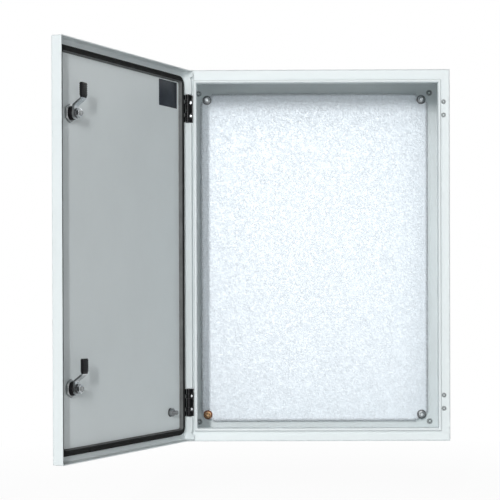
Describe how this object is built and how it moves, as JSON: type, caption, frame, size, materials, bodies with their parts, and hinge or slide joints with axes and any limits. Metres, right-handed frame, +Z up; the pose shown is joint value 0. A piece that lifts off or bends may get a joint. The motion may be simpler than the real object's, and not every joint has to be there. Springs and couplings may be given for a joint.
{
  "type": "steel wall enclosure",
  "caption": "Light grey steel wall enclosure with a mounting plate, a gasketed door on black hinges and quarter-turn cam locks with cranked cams.",
  "frame": {"origin": "middle of the four wall-fixing holes, on the rear face that lies against the wall", "axes": "+X to the right seen from the front, +Y into the wall, +Z up; the door is hinged on the left and stands open 113 degrees at rest"},
  "size_m": [0.6918, 0.6545, 0.703],
  "materials": {
    "powder_coat": "fine-textured light grey powder coat",
    "zinc_sheet": "galvanised sheet with a faint spangle",
    "zinc_fasteners": "bright zinc plate",
    "copper": "plain copper",
    "brass": "turned brass",
    "grey_plastic": "moulded, light grey",
    "black_rubber": "closed-cell foam skin",
    "black_steel": "black coated die casting",
    "dark_pin": "blackened steel",
    "black_plastic": "glass-filled black plastic",
    "die_cast": "dull nickel on zinc die casting",
    "cam_steel": "pressed steel, zinc plated"
  },
  "bodies": {
    "enclosure": {"enclosure_shell": "powder_coat", "back_panel": "powder_coat", "plate_studs": "zinc_fasteners", "plate_spacers": "zinc_fasteners", "mounting_plate": "zinc_sheet", "plate_washers": "zinc_fasteners", "plate_nuts": "zinc_fasteners", "earth_washer": "copper", "earth_nut": "brass", "flange_plugs": "grey_plastic", "gland_gasket": "black_rubber", "gland_plate": "powder_coat", "gland_screws": "zinc_fasteners", "upper_hinge_leaf": "black_steel", "lower_hinge_leaf": "black_steel", "upper_hinge_pin": "dark_pin", "lower_hinge_pin": "dark_pin", "hinge_screws": "zinc_fasteners", "hinge_nuts": "zinc_fasteners"},
    "door": {"door_panel": "powder_coat", "door_gasket": "black_rubber", "upper_door_leaf": "black_steel", "lower_door_leaf": "black_steel", "door_leaf_studs": "zinc_fasteners", "door_leaf_nuts": "zinc_fasteners", "door_earth_stud": "zinc_fasteners", "door_earth_washer": "zinc_fasteners", "door_earth_nut": "zinc_fasteners", "upper_lock_housing": "black_plastic", "upper_lock_seal": "black_rubber", "upper_lock_nut": "die_cast", "lower_lock_housing": "black_plastic", "lower_lock_seal": "black_rubber", "lower_lock_nut": "die_cast"},
    "upper_cam_lock": {"upper_lock_rotor": "die_cast", "upper_cam": "cam_steel", "upper_cam_sleeve": "black_plastic", "upper_cam_washer": "zinc_fasteners", "upper_cam_nut": "zinc_fasteners"},
    "lower_cam_lock": {"lower_lock_rotor": "die_cast", "lower_cam": "cam_steel", "lower_cam_sleeve": "black_plastic", "lower_cam_washer": "zinc_fasteners", "lower_cam_nut": "zinc_fasteners"}
  },
  "joints": [
    {"name": "door_swing", "type": "hinge", "parent": "enclosure", "child": "door", "pos_m": [-0.243, -0.2005, 0], "axis": [0, 0, 1], "range_deg": [-7, 113]},
    {"name": "upper_lock_turn", "type": "hinge", "parent": "door", "child": "upper_cam_lock", "pos_m": [-0.42033, -0.59779, 0.225], "axis": [0.9205, -0.3907, 0], "range_deg": [0, 90]},
    {"name": "lower_lock_turn", "type": "hinge", "parent": "door", "child": "lower_cam_lock", "pos_m": [-0.42033, -0.59779, -0.225], "axis": [0.9205, -0.3907, 0], "range_deg": [0, 90]}
  ]
}
